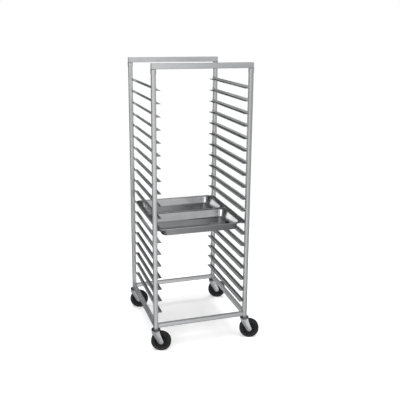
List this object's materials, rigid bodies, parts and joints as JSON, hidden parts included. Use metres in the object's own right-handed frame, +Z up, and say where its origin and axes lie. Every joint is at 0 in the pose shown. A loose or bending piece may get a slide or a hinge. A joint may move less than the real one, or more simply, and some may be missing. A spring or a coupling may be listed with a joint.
{
  "type": "sheet pan rack",
  "caption": "Tall open rack on swivel casters: welded square tube frame with angle runners up both sides, and shallow metal pans hung by their rims.",
  "frame": {"origin": "on the floor, at the centre of the outline with all casters turned as at rest", "axes": "+Z up, +X to the rack's right along the long side of the pans, -Y to the front, from which the front pan is drawn"},
  "size_m": [0.71, 0.7105, 1.75],
  "materials": {
    "frame": "drawn and lightly brushed, bare",
    "runner": "bare rolled sheet, satin",
    "caster_steel": "bright zinc plating",
    "wheel_rubber": "black, matt",
    "pan_steel": "stainless, pressed, satin"
  },
  "bodies": {
    "rack_frame": {"upright_front_left": "frame", "upright_front_right": "frame", "upright_rear_left": "frame", "upright_rear_right": "frame", "top_rail_front": "frame", "top_rail_rear": "frame", "base_rail_front": "frame", "base_rail_rear": "frame", "base_rail_left": "frame", "base_rail_right": "frame", "left_runner_01": "runner", "right_runner_01": "runner", "left_runner_02": "runner", "right_runner_02": "runner", "left_runner_03": "runner", "right_runner_03": "runner", "left_runner_04": "runner", "right_runner_04": "runner", "left_runner_05": "runner", "right_runner_05": "runner", "left_runner_06": "runner", "right_runner_06": "runner", "left_runner_07": "runner", "right_runner_07": "runner", "left_runner_08": "runner", "right_runner_08": "runner", "left_runner_09": "runner", "right_runner_09": "runner", "left_runner_10": "runner", "right_runner_10": "runner", "left_runner_11": "runner", "right_runner_11": "runner", "left_runner_12": "runner", "right_runner_12": "runner", "left_runner_13": "runner", "right_runner_13": "runner", "left_runner_14": "runner", "right_runner_14": "runner", "left_runner_15": "runner", "right_runner_15": "runner", "left_runner_16": "runner", "right_runner_16": "runner", "left_runner_17": "runner", "right_runner_17": "runner", "left_runner_18": "runner", "right_runner_18": "runner", "left_runner_19": "runner", "right_runner_19": "runner"},
    "fork_front_left": {"caster_fork_front_left": "caster_steel"},
    "wheel_front_left": {"caster_wheel_front_left": "wheel_rubber"},
    "fork_front_right": {"caster_fork_front_right": "caster_steel"},
    "wheel_front_right": {"caster_wheel_front_right": "wheel_rubber"},
    "fork_rear_left": {"caster_fork_rear_left": "caster_steel"},
    "wheel_rear_left": {"caster_wheel_rear_left": "wheel_rubber"},
    "fork_rear_right": {"caster_fork_rear_right": "caster_steel"},
    "wheel_rear_right": {"caster_wheel_rear_right": "wheel_rubber"},
    "pan_front_body": {"pan_front": "pan_steel"},
    "pan_rear_body": {"pan_rear": "pan_steel"}
  },
  "joints": [
    {"name": "swivel_front_left", "type": "hinge", "parent": "rack_frame", "child": "fork_front_left", "pos_m": [-0.32257, -0.30656, 0.137], "axis": [0, 0, 1], "continuous": true},
    {"name": "roll_front_left", "type": "hinge", "parent": "fork_front_left", "child": "wheel_front_left", "pos_m": [-0.2925, -0.3175, 0.0625], "axis": [0.342, 0.9397, 0], "continuous": true},
    {"name": "swivel_front_right", "type": "hinge", "parent": "rack_frame", "child": "fork_front_right", "pos_m": [0.26243, -0.30656, 0.137], "axis": [0, 0, 1], "continuous": true},
    {"name": "roll_front_right", "type": "hinge", "parent": "fork_front_right", "child": "wheel_front_right", "pos_m": [0.2925, -0.3175, 0.0625], "axis": [0.342, 0.9397, 0], "continuous": true},
    {"name": "swivel_rear_left", "type": "hinge", "parent": "rack_frame", "child": "fork_rear_left", "pos_m": [-0.32257, 0.32844, 0.137], "axis": [0, 0, 1], "continuous": true},
    {"name": "roll_rear_left", "type": "hinge", "parent": "fork_rear_left", "child": "wheel_rear_left", "pos_m": [-0.2925, 0.3175, 0.0625], "axis": [0.342, 0.9397, 0], "continuous": true},
    {"name": "swivel_rear_right", "type": "hinge", "parent": "rack_frame", "child": "fork_rear_right", "pos_m": [0.26243, 0.32844, 0.137], "axis": [0, 0, 1], "continuous": true},
    {"name": "roll_rear_right", "type": "hinge", "parent": "fork_rear_right", "child": "wheel_rear_right", "pos_m": [0.2925, 0.3175, 0.0625], "axis": [0.342, 0.9397, 0], "continuous": true},
    {"name": "pan_front_slide", "type": "slide", "parent": "rack_frame", "child": "pan_front_body", "axis": [0, -1, 0], "range_m": [0, 0.25]},
    {"name": "pan_rear_slide", "type": "slide", "parent": "rack_frame", "child": "pan_rear_body", "axis": [0, 1, 0], "range_m": [0, 0.25]}
  ]
}
